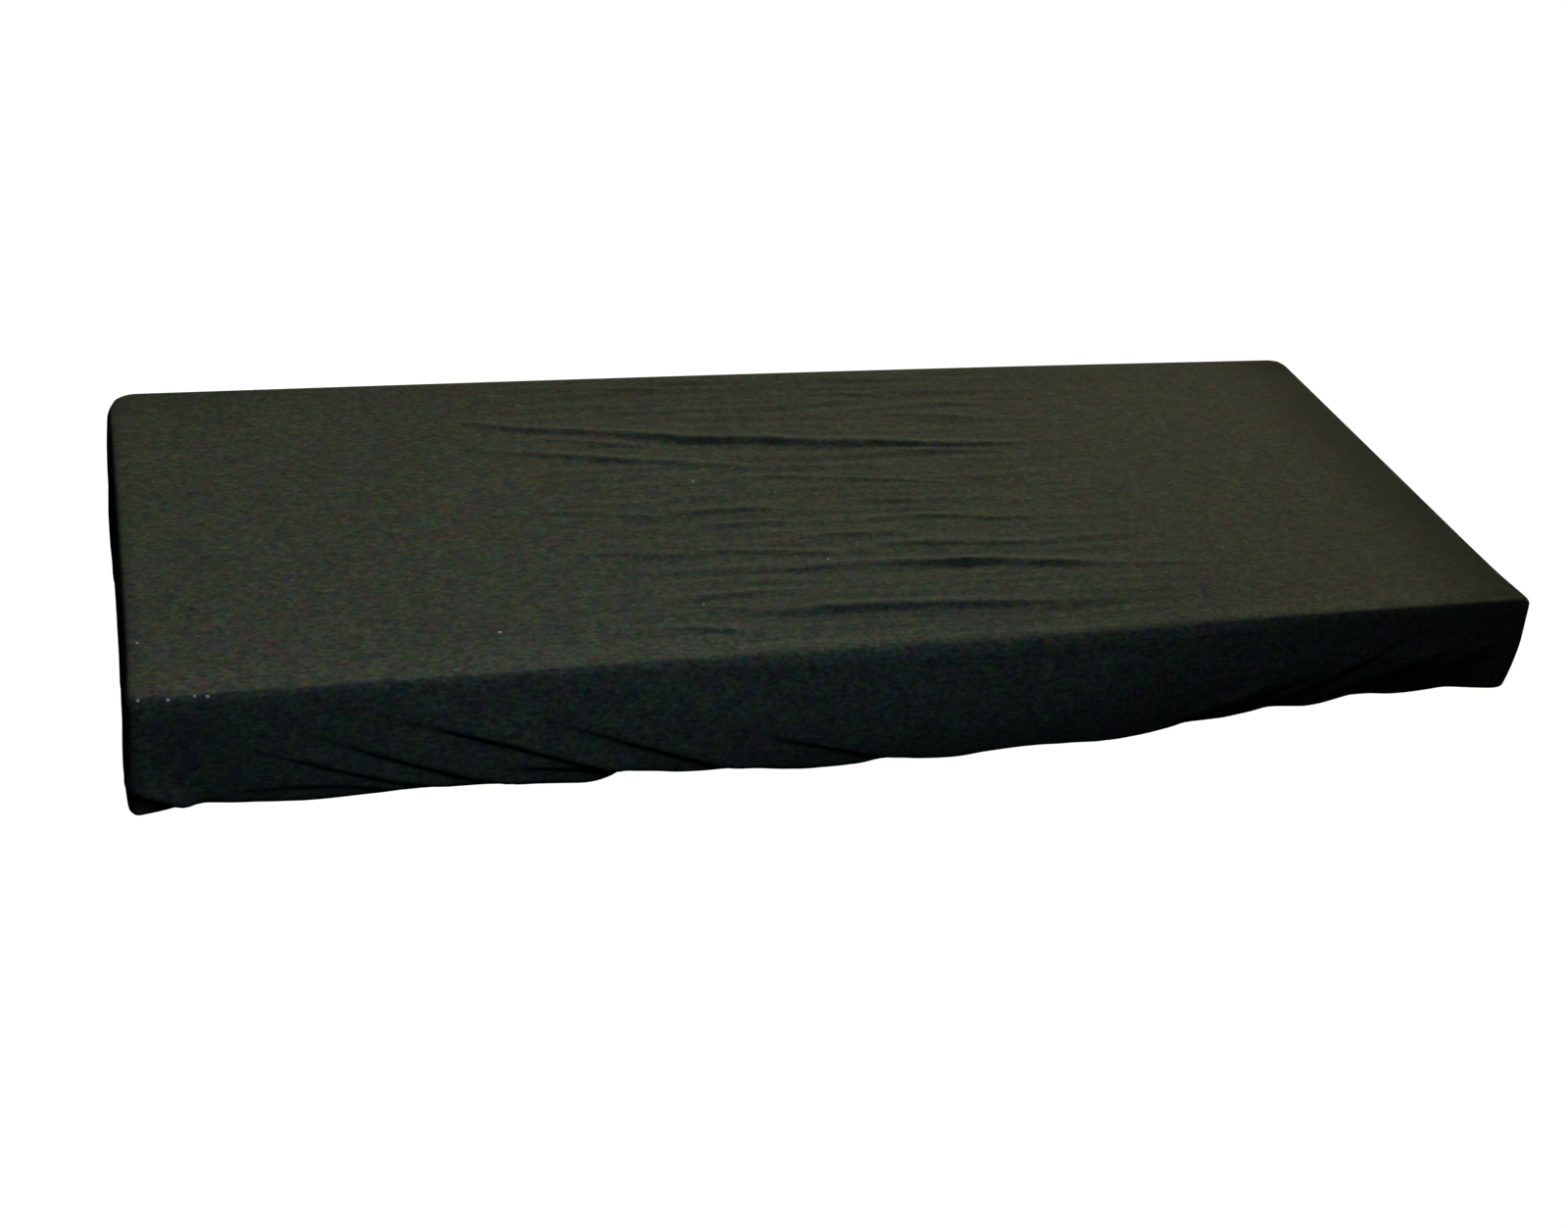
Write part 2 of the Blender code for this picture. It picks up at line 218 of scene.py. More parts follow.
# Creases that slant down a side to the hem. The cloth above one swells out over it and the cloth below it
# lies back. Columns: the upper end's place and depth, the lower end's, how far its middle bows down, how far
# the cloth above it swells, and over what height it steps in.
Crease = namedtuple("Crease", "top_at top_depth low_at low_depth bow swell step")
CREASES = {
    "front": (
        Crease(-0.490, 0.0590, -0.450, 0.0800, 0.0010, 0.0056, 0.0030),
        Crease(-0.420, 0.0357, -0.310, 0.0759, 0.0003, 0.0016, 0.0010),
        Crease(-0.446, 0.0745, -0.334, 0.0762, -0.0062, 0.0013, 0.0010),
        Crease(-0.396, 0.0212, -0.264, 0.0785, 0.0013, 0.0018, 0.0010),
        Crease(-0.350, 0.0160, -0.188, 0.0763, -0.0021, 0.0022, 0.0011),
        Crease(-0.270, 0.0655, -0.188, 0.0757, -0.0004, 0.0018, 0.0011),
        Crease(-0.255, 0.0240, -0.119, 0.0796, -0.0010, 0.0018, 0.0010),
        Crease(-0.110, 0.0512, -0.009, 0.0826, -0.0011, 0.0016, 0.0012),
        Crease(0.304, 0.0440, 0.229, 0.0777, 0.0030, 0.0034, 0.0045),
        Crease(0.342, 0.0360, 0.262, 0.0740, 0.0010, 0.0030, 0.0045),
        Crease(0.394, 0.0150, 0.305, 0.0700, 0.0000, 0.0046, 0.0050),
        Crease(0.464, 0.0240, 0.355, 0.0660, -0.0030, 0.0040, 0.0050),
        Crease(0.486, 0.0450, 0.385, 0.0620, -0.0040, 0.0030, 0.0050),
    ),
    "right": (
        Crease(-0.150, 0.030, -0.058, 0.078, 0.002, 0.0030, 0.0016),
        Crease(-0.060, 0.046, 0.000, 0.080, 0.001, 0.0014, 0.0014),
        Crease(0.150, 0.032, 0.088, 0.080, 0.002, 0.0030, 0.0016),
    ),
    "back": (
        Crease(-0.420, 0.034, -0.330, 0.082, 0.002, 0.0030, 0.0016),
        Crease(-0.360, 0.028, -0.240, 0.082, 0.003, 0.0035, 0.0014),
        Crease(-0.250, 0.034, -0.100, 0.088, 0.003, 0.0030, 0.0014),
        Crease(-0.150, 0.052, -0.060, 0.086, 0.002, 0.0014, 0.0012),
        Crease(0.235, 0.036, 0.120, 0.088, 0.002, 0.0030, 0.0014),
        Crease(0.360, 0.028, 0.255, 0.082, 0.003, 0.0035, 0.0014),
        Crease(0.430, 0.030, 0.345, 0.080, 0.002, 0.0030, 0.0016),
    ),
    "left": (
        Crease(-0.130, 0.032, -0.050, 0.082, 0.002, 0.0004, 0.0008),
        Crease(0.145, 0.034, 0.060, 0.082, 0.002, 0.0016, 0.0016),
    ),
}
# The cloth above a crease swells over this height, and lies back below it by a share of the swell. A crease
# deepens over the first share of its length and fades past its lower end.
SWELL_ABOVE = 0.014
LIE_BACK = 0.012
LIE_BACK_SHARE = 0.50
DEEPEN_SHARE = 0.55
FADE_SHARE = 0.25

# The three longest wrinkles across the top, each a ridge with its steeper face to the front. Columns: place
# along it, where its crest runs, how high it rises and how wide one flank is.
Crest = namedtuple("Crest", "at y rise flank")
LONG_WRINKLES = (
    (
        Crest(-0.255, 0.1278, 0.0000, 0.0040),
        Crest(-0.230, 0.1238, 0.0010, 0.0040),
        Crest(-0.190, 0.1123, 0.0018, 0.0046),
        Crest(-0.140, 0.1038, 0.0025, 0.0054),
        Crest(-0.100, 0.0948, 0.0033, 0.0058),
        Crest(-0.060, 0.0860, 0.0038, 0.0064),
        Crest(-0.020, 0.0832, 0.0034, 0.0062),
        Crest(0.030, 0.0750, 0.0035, 0.0062),
        Crest(0.070, 0.0730, 0.0031, 0.0056),
        Crest(0.110, 0.0662, 0.0027, 0.0050),
        Crest(0.150, 0.0640, 0.0019, 0.0046),
        Crest(0.195, 0.0626, 0.0000, 0.0040),
    ),
    (
        Crest(-0.120, -0.0915, 0.0000, 0.0034),
        Crest(-0.050, -0.0942, 0.0012, 0.0038),
        Crest(0.000, -0.0916, 0.0018, 0.0042),
        Crest(0.050, -0.0949, 0.0028, 0.0048),
        Crest(0.100, -0.0996, 0.0031, 0.0050),
        Crest(0.140, -0.1050, 0.0027, 0.0048),
        Crest(0.175, -0.1096, 0.0015, 0.0042),
        Crest(0.225, -0.1145, 0.0009, 0.0038),
        Crest(0.265, -0.1128, 0.0000, 0.0034),
    ),
    (
        Crest(-0.110, -0.1420, 0.0000, 0.0034),
        Crest(-0.080, -0.1418, 0.0010, 0.0038),
        Crest(-0.061, -0.1424, 0.0014, 0.0040),
        Crest(-0.040, -0.1416, 0.0020, 0.0044),
        Crest(-0.010, -0.1425, 0.0023, 0.0046),
        Crest(0.015, -0.1435, 0.0022, 0.0046),
        Crest(0.059, -0.1454, 0.0020, 0.0044),
        Crest(0.111, -0.1484, 0.0014, 0.0041),
        Crest(0.148, -0.1492, 0.0007, 0.0036),
        Crest(0.185, -0.1500, 0.0000, 0.0034),
    ),
)

# The other wrinkles, straight ones. Columns: where it starts and ends, how far its middle bows to the back,
# how high it rises and how wide one flank is.
Ridge = namedtuple("Ridge", "x_start y_start x_end y_end bow rise flank")
RIDGES = (
    Ridge(-0.240, 0.0860, -0.030, 0.0436, -0.001, 0.0020, 0.0044),
    Ridge(-0.205, -0.0038, -0.105, -0.0207, 0.000, 0.0013, 0.0034),
    Ridge(-0.115, -0.0157, -0.035, -0.0141, 0.000, 0.0020, 0.0042),
    Ridge(-0.200, -0.0608, -0.095, -0.0700, 0.000, 0.0013, 0.0034),
    Ridge(-0.115, -0.0631, 0.005, -0.0804, 0.001, 0.0016, 0.0037),
    Ridge(0.015, -0.0672, 0.160, -0.0793, 0.000, 0.0020, 0.0044),
    Ridge(-0.185, 0.096, -0.095, 0.079, 0.000, 0.0011, 0.0027),
    Ridge(-0.105, 0.008, -0.065, 0.005, 0.000, 0.0010, 0.0027),
    Ridge(-0.048, -0.0533, 0.050, -0.0543, 0.000, 0.0018, 0.0034),
    Ridge(-0.160, -0.1246, -0.050, -0.1155, -0.001, 0.0008, 0.0029),
    Ridge(-0.150, -0.1523, -0.078, -0.1656, 0.000, 0.0014, 0.0027),
    Ridge(-0.122, -0.1315, -0.068, -0.1432, 0.000, 0.0010, 0.0028),
    Ridge(0.055, 0.153, 0.118, 0.139, 0.001, 0.0007, 0.0027),
    Ridge(0.122, 0.134, 0.188, 0.121, 0.001, 0.0006, 0.0027),
    Ridge(-0.045, 0.0330, 0.050, 0.0185, 0.000, 0.0011, 0.0028),
    Ridge(0.030, 0.0220, 0.118, 0.0080, 0.000, 0.0010, 0.0028),
    Ridge(0.025, -0.0066, 0.088, -0.0160, 0.000, 0.0007, 0.0028),
    Ridge(0.030, -0.0303, 0.160, -0.0461, 0.000, 0.0012, 0.0030),
    Ridge(-0.098, -0.032, -0.030, -0.033, 0.000, 0.0010, 0.0027),
    Ridge(0.060, 0.0620, 0.175, 0.0500, 0.000, 0.0008, 0.0028),
    Ridge(0.085, 0.1181, 0.175, 0.1037, 0.000, 0.0010, 0.0028),
    Ridge(-0.122, 0.167, -0.072, 0.165, 0.001, 0.0011, 0.0027),
)

# A wrinkle's flank before its crest and behind it, as shares of its width, how bluntly a straight one ends,
# and how far from its crest a long one still counts
FRONT_FLANK = 0.8
BACK_FLANK = 1.2
RIDGE_TAPER = 0.7
RIDGE_REACH = 0.025

# A straight wrinkle wanders a little from its line, and every wrinkle rises unevenly: sizes of both, how
# often a straight one's line and a long one's height change, and how much faster a straight one's height does
RIDGE_WANDER = 0.0013
RIDGE_UNEVEN = 0.30
RIDGE_CHANGES = 22
LONG_CHANGES = 44
HEIGHT_CHANGES = 1.7

# How far in from its front and back edges the top begins to sink or rise towards them
EDGE_SAG_REACH = 0.050

# Ripples: low wrinkles along the cover in the slack middle of the top. Height, how often they change along
# the cover and across it, where the middle lies, how far they reach from it, and over what length they fade.
RIPPLE = 0.00090
RIPPLE_ALONG = 11
RIPPLE_ACROSS = 130
RIPPLE_MIDDLE = 0.01
RIPPLE_REACH = 0.26
RIPPLE_FADE = 0.11

# The top's soft unevenness: height and how often it changes
HOLLOW = 0.00025
HOLLOW_CHANGES = 34

# The slice of the noise that each kind of unevenness of the top reads
STRAIGHT_SLICE = 0
LONG_SLICE = 1
RIPPLE_SLICE = 0
HOLLOW_SLICE = 3

# The sides' own unevenness, and the puckers that the elastic draws into the hem: height, on the side and at
# the flap's edge, and how often each changes round the cover and down it. The puckers begin this far above
# the hem.
UNEVEN = 0.0004
UNEVEN_ROUND = 17
UNEVEN_DOWN = 28
PUCKER = 0.0006
FLAP_PUCKER = 0.0016
PUCKER_ROUND = 62
PUCKER_DOWN = 11
PUCKER_REACH = 0.030

# Specks of lint that lie on the top and on its front left edge: place and radius
Speck = namedtuple("Speck", "x y z radius")
SPECKS = (
    Speck(-0.4708, -0.1315, 0.0015, 0.0007),
    Speck(-0.2545, -0.1455, 0.0015, 0.0010),
    Speck(-0.0849, 0.0279, 0.0015, 0.0009),
    Speck(-0.1181, -0.1296, 0.0015, 0.0006),
    Speck(-0.0182, -0.0848, 0.0022, 0.0008),
    Speck(-0.0290, 0.0076, 0.0015, 0.0005),
    Speck(-0.4725, -0.1890, 0.0006, 0.0010),
    Speck(-0.4559, -0.1900, 0.0000, 0.0010),
    Speck(-0.4409, -0.1890, 0.0006, 0.0009),
    Speck(-0.4337, -0.1899, 0.0006, 0.0010),
)

# The knit: name of its map, width of one column of loops and height of one row, how far the loops' legs slant
# up, how much of their height comes and goes in each row, and how high they stand
KNIT_MAP = "knit"
LOOP_WIDTH = 0.0013
LOOP_HEIGHT = 0.0010
LOOP_SLANT = 0.6
LOOP_WAVE = 0.35
LOOP_RELIEF = 0.00010

# Colours of the cloth, of a lighter black for its faded patches and its front edge, and of lint
BLACK = (0.026, 0.029, 0.0255)
LIGHTER_BLACK = (0.034, 0.036, 0.031)
LINT = (0.30, 0.30, 0.28)

# Patterns: how often each changes in a metre, along the cover, across it and down it where these differ
PATCH_SCALE = 9.0
STREAK_SCALES = (40.0, 330.0, 330.0)
FLECK_SCALES = (230.0, 380.0, 380.0)
BLOTCH_SCALE = 115.0

# How strongly the flecks change the hue and the brightness, how strongly the blotches change the colour, and
# the share of the colour that is always left
HUES = 2.4
SPECKLE = 2.2
BLOTCHES = 1.5
DARKEST = 0.1

# The lighter black: between which values of the pattern its faded patches come in, how much of it shows
# along the front edge of the top, and the places where that begins and is full
PATCHES_FADED = (0.35, 0.85)
EDGE_LIGHTER = 0.7
EDGE_LIGHTER_Y = (-0.150, -0.183)
EDGE_LIGHTER_Z = (-0.012, -0.003)

# Painted shade at the right end, without the front side, and at the back: share of the colour that goes, and
# the places where it begins and is full
PAINTED_SHADE_RIGHT = 0.86
PAINTED_SHADE_RIGHT_X = (0.388, 0.484)
PAINTED_SHADE_RIGHT_Y = (-0.191, -0.181)
PAINTED_SHADE_BACK = 0.20
PAINTED_SHADE_BACK_Y = (0.140, 0.186)

# How much the streaks and the loops shade the colour, how high the streaks stand, the roughness and what the
# patches add to it, and the shader's other settings
STREAK_SHADE = 0.2
LOOP_SHADE = 0.2
STREAK_RELIEF = 0.00025
ROUGHNESS = 0.78
PATCH_ROUGHNESS = 0.12
SHADER_SETTINGS = {
    "Specular IOR Level": 0.05,
    "Sheen Weight": 0.025,
    "Sheen Roughness": 0.45,
    "Sheen Tint": (0.9, 0.95, 0.85, 1.0),
}

# The photograph's viewpoint: where the camera stands, which way its right, up and back sides point, its lens
# and sensor in millimetres, and how far it sees
CAMERA_PLACE = (-0.47014, -1.20147, 0.73194)
CAMERA_RIGHT = (0.95218, -0.28298, 0.11524)
CAMERA_UP = (0.06328, 0.55164, 0.83168)
CAMERA_BACK = (-0.29893, -0.78461, 0.54316)
CAMERA_LENS = 47.36
SENSOR = 36.0
CAMERA_REACH = 200

# The lights: place, what each points at, width, height, power and colour. The large one stands far off behind
# the right end and points past the cover, so that it gets weaker towards that end. The small one is close to
# the front.
Light = namedtuple("Light", "name place target width height power colour")
LIGHTS = (
    Light("key_behind", (6.1, 8.8, 5.64), (-3.35, 11.67, 4.05), 3.6, 2.8, 4850, (1.03, 0.985, 0.625)),
    Light("fill_front", (-0.08, -0.58, 0.68), (-0.86, -0.19, -0.04), 0.3, 0.3, 4.35, (0.67, 0.98, 1.10)),
)
ROOM_COLOUR = (0.7, 0.9, 1.0)
ROOM_STRENGTH = 0.0065

# The studio: the floor lies well below the cover, which something left out holds up, and a dome surrounds
# both. The two glow, because the lights are far too weak to make them white.
FLOOR_LEVEL = -0.70
FLOOR_COLOUR = (0.20, 0.20, 0.20)
FLOOR_GLOW = 0.93
DOME_COLOUR = (0.0, 0.0, 0.0)
DOME_GLOW = 1.0
STUDIO_RADIUS = 40

# A place on the outline seen from above: its side, its place along that side, how far along the whole outline
# it is, and the direction out of it
Post = namedtuple("Post", "side at along x y out_x out_y")


def eased(value):
    """0 below 0, 1 above 1, and a smooth rise between."""
    value = min(1.0, max(0.0, value))
    return value * value * (3 - 2 * value)


def along_rows(rows, at, column):
    """A column's value at a place, on a smooth curve through the rows."""
    spot = min(max(at, rows[0].at), rows[-1].at)
    low = max(i for i in range(len(rows) - 1) if rows[i].at <= spot)
    near = [rows[min(max(low + i, 0), len(rows) - 1)] for i in (-1, 0, 1, 2)]
    before, start, end, after = [getattr(row, column) for row in near]
    span = near[2].at - near[1].at
    share = (spot - near[1].at) / span
    start_slope = (end - before) * span / (near[2].at - near[0].at)
    end_slope = (after - start) * span / (near[3].at - near[1].at)
    rest = 1 - share
    value = start * (1 + 2 * share) * rest * rest + end * (1 + 2 * rest) * share * share
    return value + (start_slope * rest - end_slope * share) * share * rest


def crease_swell(crease, at, depth):
    """How far one crease moves the cloth out, at a place along the side and a depth below the top."""
    share = (at - crease.top_at) / (crease.low_at - crease.top_at)
    if share <= 0 or share >= 1 + FADE_SHARE:
        return 0.0
    line = crease.top_depth + (crease.low_depth - crease.top_depth) * share
    line += 4 * crease.bow * share * (1 - share)
    strength = crease.swell * eased(share / DEEPEN_SHARE) * eased((1 + FADE_SHARE - share) / FADE_SHARE)
    above = line - depth
    if above > 0:
        rise = 1 - math.exp(-above / crease.step)
        return strength * rise * math.exp(-((above / SWELL_ABOVE) ** 2))
    return -strength * LIE_BACK_SHARE * (1 - math.exp(above / crease.step)) * math.exp(above / LIE_BACK)


def creases_at(post, depth):
    """How far all creases of a side together move the cloth out, at a depth below the top."""
    return sum(crease_swell(crease, post.at, depth) for crease in CREASES[post.side])


def pucker(post, depth):
    """From -1 to 1: the folds that the elastic draws into the hem."""
    return noise.noise(Vector((post.x * PUCKER_ROUND, post.y * PUCKER_ROUND, depth * PUCKER_DOWN)))


def side_detail(post, depth, to_hem):
    """Fine unevenness of a side: soft hollows all over it, and puckers that grow towards the hem."""
    place = Vector((post.x * UNEVEN_ROUND, post.y * UNEVEN_ROUND, depth * UNEVEN_DOWN))
    return UNEVEN * noise.noise(place) + PUCKER * pucker(post, depth) * eased(1 - to_hem / PUCKER_REACH)


def ridge_shape(y, crest, rise, flank):
    """Height of a ridge at y, steeper in front of its crest than behind it."""
    width = flank * (FRONT_FLANK if y < crest else BACK_FLANK)
    return rise * math.exp(-(((y - crest) / width) ** 2))


def long_rise(number, rows, x, y):
    """How far one of the long wrinkles lifts the top."""
    if not rows[0].at < x < rows[-1].at:
        return 0.0
    crest = along_rows(rows, x, "y")
    if abs(y - crest) > RIDGE_REACH:
        return 0.0
    uneven = 1 + RIDGE_UNEVEN * noise.noise(Vector((x * LONG_CHANGES, number, LONG_SLICE)))
    return ridge_shape(y, crest, along_rows(rows, x, "rise") * uneven, along_rows(rows, x, "flank"))


def ridge_rise(number, ridge, x, y):
    """How far one of the straight wrinkles lifts the top."""
    share = (x - ridge.x_start) / (ridge.x_end - ridge.x_start)
    if share <= 0 or share >= 1:
        return 0.0
    change = Vector((x * RIDGE_CHANGES, number, STRAIGHT_SLICE))
    crest = ridge.y_start + (ridge.y_end - ridge.y_start) * share
    crest += 4 * ridge.bow * share * (1 - share) + RIDGE_WANDER * noise.noise(change)
    along = math.sin(math.pi * share) ** RIDGE_TAPER
    along *= 1 + RIDGE_UNEVEN * noise.noise(change * HEIGHT_CHANGES)
    return ridge_shape(y, crest, ridge.rise * along, ridge.flank)


def ripples(x, y):
    """Low ripples along the cover that fade out towards both ends, where the cloth is tight."""
    fade = eased((RIPPLE_REACH - abs(x - RIPPLE_MIDDLE)) / RIPPLE_FADE)
    if fade == 0:
        return 0.0
    return RIPPLE * fade * noise.noise(Vector((x * RIPPLE_ALONG, y * RIPPLE_ACROSS, RIPPLE_SLICE)))


def hollows(x, y):
    """The top's soft unevenness."""
    return HOLLOW * noise.noise(Vector((x * HOLLOW_CHANGES, y * HOLLOW_CHANGES, HOLLOW_SLICE)))


def edge_sag(x, y):
    """How far the top sinks towards its slack front edge, or rises towards its back edge if below 0."""
    side = "front" if y < 0 else "back"
    near_edge = eased((abs(y) - HALF_DEPTH + INSET + EDGE_SAG_REACH) / EDGE_SAG_REACH)
    return near_edge * along_rows(SECTIONS[side], x, "edge_sag")


def top_height(x, y):
    """Height of the cloth's outer side at a place on the top."""
    rise = sum(ridge_rise(number, ridge, x, y) for number, ridge in enumerate(RIDGES))
    rise += sum(long_rise(number, rows, x, y) for number, rows in enumerate(LONG_WRINKLES))
    return THICK - edge_sag(x, y) + rise + ripples(x, y) + hollows(x, y)


def lines(half, pitch):
    """Places of the grid lines across the top, closer together at both ends."""
    inner = half - CORNER_LINES[-1]
    count = round(2 * inner / pitch)
    middle = [-inner + 2 * inner * i / count for i in range(1, count)]
    ends = [half] + [half - step for step in CORNER_LINES]
    return [-place for place in ends] + middle + ends[::-1]


def outline_post(x, y):
    """The place on the outline, seen from above, for a place on the border of its plain rectangle."""
    if abs(y) >= HALF_DEPTH:
        side, at = ("front", x) if y < 0 else ("back", x)
        out_x, out_y = 0.0, math.copysign(1, y)
    else:
        side, at = ("left", y) if x < 0 else ("right", y)
        out_x, out_y = math.copysign(1, x), 0.0
    along = {
        "front": at,
        "right": HALF_LENGTH + HALF_DEPTH + at,
        "back": 2 * (HALF_LENGTH + HALF_DEPTH) - at,
        "left": 3 * (HALF_LENGTH + HALF_DEPTH) - at,
    }[side]
    for corner in CORNERS:
        x_in = (x * corner.x_side - HALF_LENGTH) / corner.x_reach + 1
        y_in = (y * corner.y_side - HALF_DEPTH) / corner.y_reach + 1
        if x_in > 0 and y_in > 0:
            turn = math.pi / 4 * (y_in if x_in >= 1 else 2 - x_in)
            x = corner.x_side * (HALF_LENGTH + corner.x_reach * (math.cos(turn) - 1))
            y = corner.y_side * (HALF_DEPTH + corner.y_reach * (math.sin(turn) - 1))
            out_x = corner.x_side * math.cos(turn) * corner.y_reach
            out_y = corner.y_side * math.sin(turn) * corner.x_reach
    length = math.hypot(out_x, out_y)
    return Post(side, at, along, x, y, out_x / length, out_y / length)


def tucked(share):
    """From 0 to 1: how far a side has been drawn in at a share of its height."""
    below = max(0.0, (share - TUCK_FROM) / (1 - TUCK_FROM))
    return (math.hypot(below, TUCK_BEND) - TUCK_BEND) / (math.hypot(1, TUCK_BEND) - TUCK_BEND)


def on_side(post, inner, out, z):
    """A point beside the outline: straight out from it, or inwards along the line to the flat top."""
    if out > 0:
        return Vector((post.x + post.out_x * out, post.y + post.out_y * out, z))
    share = -out / INSET
    return Vector((post.x + (inner.x - post.x) * share, post.y + (inner.y - post.y) * share, z))


def side_profile(post):
    """Distance out and height of each step from the flat top over the edge, down and round the hem."""
    rows = SECTIONS[post.side]
    edge_width = along_rows(rows, post.at, "edge_width")
    edge_depth = along_rows(rows, post.at, "edge_depth")
    sag = along_rows(rows, post.at, "edge_sag")
    swell = along_rows(rows, post.at, "swell")
    hem_radius = along_rows(rows, post.at, "hem_radius")
    tuck = along_rows(rows, post.at, "tuck")
    drop = along_rows(HEMS[post.side], post.at, "drop")
    points = []
    for i in range(ROLL_STEPS + 1):
        turn = math.pi / 2 * i / ROLL_STEPS
        points.append((edge_width * (math.sin(turn) - 1), THICK - sag - edge_depth * (1 - math.cos(turn))))
    wall_top = points[-1][1]
    lean = math.atan2(tuck * TUCK_SLOPE, (1 - TUCK_FROM) * (drop - hem_radius))
    wall_foot = hem_radius * (1 - math.sin(lean)) - drop
    for i in range(1, WALL_STEPS + 1):
        share = i / WALL_STEPS
        z = wall_top + (wall_foot - wall_top) * share
        out = swell * math.sin(math.pi * SWELL_TURN * share)
        out -= tuck * tucked(share)
        detail = side_detail(post, -z, z - wall_foot) * eased(share / DETAIL_SHARE)
        points.append((out + creases_at(post, -z) + detail, z))
    foot = swell * math.sin(math.pi * SWELL_TURN) - tuck
    for i in range(1, CURL_STEPS + 1):
        turn = lean + (HEM_TURN - lean) * i / CURL_STEPS
        depth = -wall_foot + hem_radius * (turn - lean)
        out = foot + creases_at(post, depth) - hem_radius * (math.cos(lean) - math.cos(turn))
        detail = side_detail(post, depth, 0) * max(0.0, math.cos(turn))
        points.append((out + detail, wall_foot - hem_radius * (math.sin(turn) - math.sin(lean))))
    out, z = points[-1]
    for i in range(1, FLAP_STEPS + 1):
        share = i / FLAP_STEPS
        length = max(HEM_FLAP - tuck, SHORT_FLAP) * share
        fold = FLAP_PUCKER * pucker(post, -wall_foot) * share
        points.append((out - length * math.sin(HEM_TURN), z - length * math.cos(HEM_TURN) + fold))
    return points


def cloth_surface():
    """The outer side of the cloth: a grid for the top, whose border is drawn out over the edge and down."""
    x_lines = lines(HALF_LENGTH, PITCH_X)
    y_lines = lines(HALF_DEPTH, PITCH_Y)
    cloth = bmesh.new()
    columns, rows = len(x_lines) - 1, len(y_lines) - 1
    bmesh.ops.create_grid(cloth, x_segments=columns, y_segments=rows, size=1)
    post_of = cloth.verts.layers.int.new("post")
    down_of = cloth.verts.layers.float.new("down")
    posts, inners, profiles = [], [], []
    for vert in cloth.verts:
        x = x_lines[round((vert.co.x + 1) / 2 * columns)]
        y = y_lines[round((vert.co.y + 1) / 2 * rows)]
        inner = Vector((x * (1 - INSET / HALF_LENGTH), y * (1 - INSET / HALF_DEPTH), 0))
        inner.z = top_height(inner.x, inner.y)
        if vert.is_boundary:
            vert[post_of] = len(posts)
            posts.append(outline_post(x, y))
            inners.append(inner)
            profiles.append(side_profile(posts[-1]))
        vert.co = inner
    top_faces = len(cloth.faces)
    for step in range(len(profiles[0])):
        border = [edge for edge in cloth.edges if edge.is_boundary]
        drawn = bmesh.ops.extrude_edge_only(cloth, edges=border)["geom"]
        for vert in drawn:
            if isinstance(vert, bmesh.types.BMVert):
                number = vert[post_of]
                place = on_side(posts[number], inners[number], *profiles[number][step])
                vert[down_of] += (place - vert.co).length
                vert.co = place
    lay_knit(cloth, top_faces, post_of, down_of, posts)
    bmesh.ops.recalc_face_normals(cloth, faces=cloth.faces[:])
    sort_parts(cloth)
    mesh = bpy.data.meshes.new(NODE + "_cloth")
    cloth.to_mesh(mesh)
    cloth.free()
    return mesh


def sort_parts(cloth):
    """Sorts the points, edges and faces by place, so that each run thins the mesh in the same way."""
    cloth.verts.sort(key=lambda vert: vert.co.dot(SORTED_ALONG))
    cloth.edges.sort(key=lambda edge: (edge.verts[0].co + edge.verts[1].co).dot(SORTED_ALONG))
    cloth.faces.sort(key=lambda face: face.calc_center_median().dot(SORTED_ALONG))
    for parts in (cloth.verts, cloth.edges, cloth.faces):
        parts.index_update()


def lay_knit(cloth, top_faces, post_of, down_of, posts):
    """Lays out the knit in metres: x and y on the top, and along the outline and down on the sides."""
    knit = cloth.loops.layers.uv.new(KNIT_MAP)
    cloth.faces.ensure_lookup_table()
    for number, face in enumerate(cloth.faces):
        if number < top_faces:
            for corner in face.loops:
                corner[knit].uv = corner.vert.co.xy
            continue
        alongs = [posts[corner.vert[post_of]].along for corner in face.loops]
        wraps = max(alongs) - min(alongs) > PERIMETER / 2
        for corner, along in zip(face.loops, alongs):
            if wraps and along < 0:
                along += PERIMETER
            corner[knit].uv = (along, -HALF_DEPTH - corner.vert[down_of])


